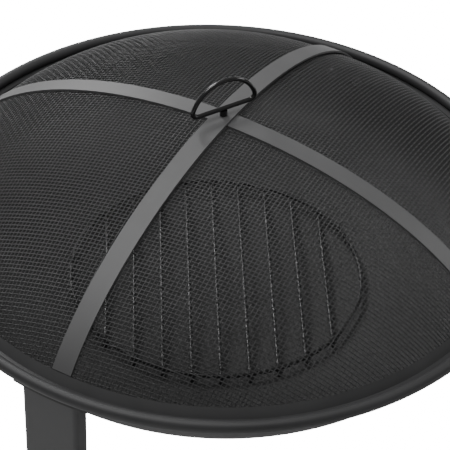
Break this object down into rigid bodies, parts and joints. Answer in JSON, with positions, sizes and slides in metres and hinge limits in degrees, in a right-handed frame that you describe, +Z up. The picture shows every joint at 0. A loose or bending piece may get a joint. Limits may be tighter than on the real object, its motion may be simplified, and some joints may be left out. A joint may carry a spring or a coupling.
{
  "type": "fire pit with grate",
  "caption": "Round steel fire pit: a rolled-rim bowl on flat tube legs, a rod grate in the bowl and a domed mesh spark screen with crossed straps and a wire lifting loop.",
  "frame": {"origin": "on the bowl's axis at ground level", "axes": "+Z up; the legs and the screen's two straps lie on X and Y, the upper strap along Y"},
  "size_m": [0.56, 0.56, 0.4778],
  "materials": {
    "bowl_steel": "satin black heat-resistant paint",
    "leg_steel": "semi-matt black powder coat",
    "strap_steel": "matt dark grey powder coat",
    "mesh_steel": "satin black heat-resistant paint",
    "wire_steel": "gloss black",
    "grate_steel": "satin black heat-resistant paint",
    "hardware": "blackened zinc",
    "foot_plastic": "moulded black plastic"
  },
  "bodies": {
    "base": {"bowl": "bowl_steel", "leg_right": "leg_steel", "leg_plate_right": "leg_steel", "foot_right": "foot_plastic", "leg_bolt_right_a": "hardware", "leg_bolt_right_b": "hardware", "leg_nut_right_a": "hardware", "leg_nut_right_b": "hardware", "leg_back": "leg_steel", "leg_plate_back": "leg_steel", "foot_back": "foot_plastic", "leg_bolt_back_a": "hardware", "leg_bolt_back_b": "hardware", "leg_nut_back_a": "hardware", "leg_nut_back_b": "hardware", "leg_left": "leg_steel", "leg_plate_left": "leg_steel", "foot_left": "foot_plastic", "leg_bolt_left_a": "hardware", "leg_bolt_left_b": "hardware", "leg_nut_left_a": "hardware", "leg_nut_left_b": "hardware", "leg_front": "leg_steel", "leg_plate_front": "leg_steel", "foot_front": "foot_plastic", "leg_bolt_front_a": "hardware", "leg_bolt_front_b": "hardware", "leg_nut_front_a": "hardware", "leg_nut_front_b": "hardware"},
    "screen": {"screen_mesh": "mesh_steel", "screen_band": "bowl_steel", "strap_under": "strap_steel", "strap_over": "strap_steel"},
    "loop": {"lifting_loop": "wire_steel", "loop_stud": "wire_steel", "loop_washer": "hardware", "loop_nut": "hardware"},
    "grate": {"grate_ring": "grate_steel", "grate_rod_1": "grate_steel", "grate_rod_2": "grate_steel", "grate_rod_3": "grate_steel", "grate_rod_4": "grate_steel", "grate_rod_5": "grate_steel", "grate_rod_6": "grate_steel", "grate_rod_7": "grate_steel", "grate_rod_8": "grate_steel", "grate_rod_9": "grate_steel"}
  },
  "joints": [
    {"name": "screen_lift", "type": "slide", "parent": "base", "child": "screen", "axis": [0, 0, 1], "range_m": [0, 0.25]},
    {"name": "loop_turn", "type": "hinge", "parent": "screen", "child": "loop", "pos_m": [0, 0, 0.4395], "axis": [0, 0, 1], "continuous": true},
    {"name": "grate_lift", "type": "slide", "parent": "base", "child": "grate", "axis": [0, 0, 1], "range_m": [0, 0.148]}
  ]
}
